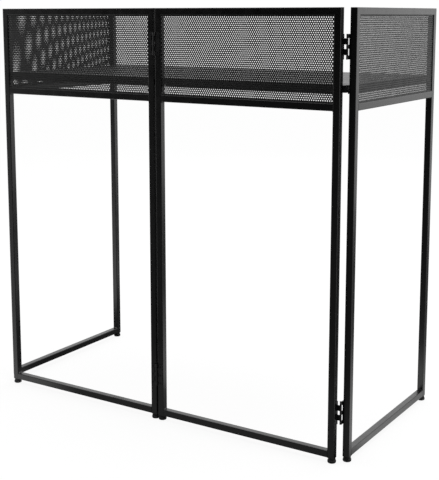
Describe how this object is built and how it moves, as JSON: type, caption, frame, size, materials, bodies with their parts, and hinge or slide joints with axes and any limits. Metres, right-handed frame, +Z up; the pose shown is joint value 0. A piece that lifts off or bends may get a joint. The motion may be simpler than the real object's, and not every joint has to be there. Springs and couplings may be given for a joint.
{
  "type": "dj booth",
  "caption": "Folding tube-frame DJ booth: hinged front and side panels with perforated screens above open frames, round a lift-out table.",
  "frame": {"origin": "on the floor under the middle of the booth's box; x = 0 is the centre fold", "axes": "+X across the front to the audience's right, +Y towards the open back, +Z up"},
  "size_m": [1.201, 0.5774, 1.185],
  "materials": {
    "frame_steel": "satin black powder coat with a fine orange-peel grain",
    "screen_steel": "satin black powder coat on perforated sheet",
    "hinge_steel": "black coated pressed steel",
    "screw_steel": "black zinc",
    "pin_steel": "plain steel wire",
    "table_laminate": "black laminate on a board, fine matt grain",
    "edge_band": "black plastic edge strip",
    "foot_plastic": "moulded black plastic"
  },
  "bodies": {
    "front_left": {"front_left_bottom_rail": "frame_steel", "front_left_centre_post": "frame_steel", "front_left_feet": "foot_plastic", "front_left_hinge_screws": "screw_steel", "front_left_ledge": "frame_steel", "front_left_outer_post": "frame_steel", "front_left_screen": "screen_steel", "front_left_screen_rail": "frame_steel", "front_left_top_rail": "frame_steel", "centre_hinge_left_leaves": "hinge_steel", "centre_hinge_pins": "pin_steel", "left_corner_hinge_front_leaves": "hinge_steel", "left_corner_hinge_pins": "pin_steel"},
    "front_right": {"front_right_bottom_rail": "frame_steel", "front_right_centre_post": "frame_steel", "front_right_feet": "foot_plastic", "front_right_hinge_screws": "screw_steel", "front_right_ledge": "frame_steel", "front_right_outer_post": "frame_steel", "front_right_screen": "screen_steel", "front_right_screen_rail": "frame_steel", "front_right_top_rail": "frame_steel", "centre_hinge_right_leaves": "hinge_steel", "right_corner_hinge_front_leaves": "hinge_steel", "right_corner_hinge_pins": "pin_steel"},
    "side_left": {"side_left_bottom_rail": "frame_steel", "side_left_feet": "foot_plastic", "side_left_front_post": "frame_steel", "side_left_hinge_screws": "screw_steel", "side_left_ledge": "frame_steel", "side_left_rear_post": "frame_steel", "side_left_screen": "screen_steel", "side_left_screen_rail": "frame_steel", "side_left_top_rail": "frame_steel", "left_corner_hinge_side_leaves": "hinge_steel"},
    "side_right": {"side_right_bottom_rail": "frame_steel", "side_right_feet": "foot_plastic", "side_right_front_post": "frame_steel", "side_right_hinge_screws": "screw_steel", "side_right_ledge": "frame_steel", "side_right_rear_post": "frame_steel", "side_right_screen": "screen_steel", "side_right_screen_rail": "frame_steel", "side_right_top_rail": "frame_steel", "right_corner_hinge_side_leaves": "hinge_steel"},
    "table": {"table_board": "table_laminate", "table_edge_band": "edge_band"}
  },
  "joints": [
    {"name": "centre_fold", "type": "hinge", "parent": "front_left", "child": "front_right", "pos_m": [0, -0.286, 0.6], "axis": [0, 0, -1], "range_deg": [0, 180]},
    {"name": "left_corner_fold", "type": "hinge", "parent": "front_left", "child": "side_left", "pos_m": [-0.57675, -0.2615, 0.6], "axis": [0, 0, 1], "range_deg": [0, 90]},
    {"name": "right_corner_fold", "type": "hinge", "parent": "front_right", "child": "side_right", "pos_m": [0.57675, -0.2615, 0.6], "axis": [0, 0, -1], "range_deg": [0, 90]},
    {"name": "table_lift", "type": "slide", "parent": "front_left", "child": "table", "axis": [0, 0, 1], "range_m": [0, 0.25]}
  ]
}
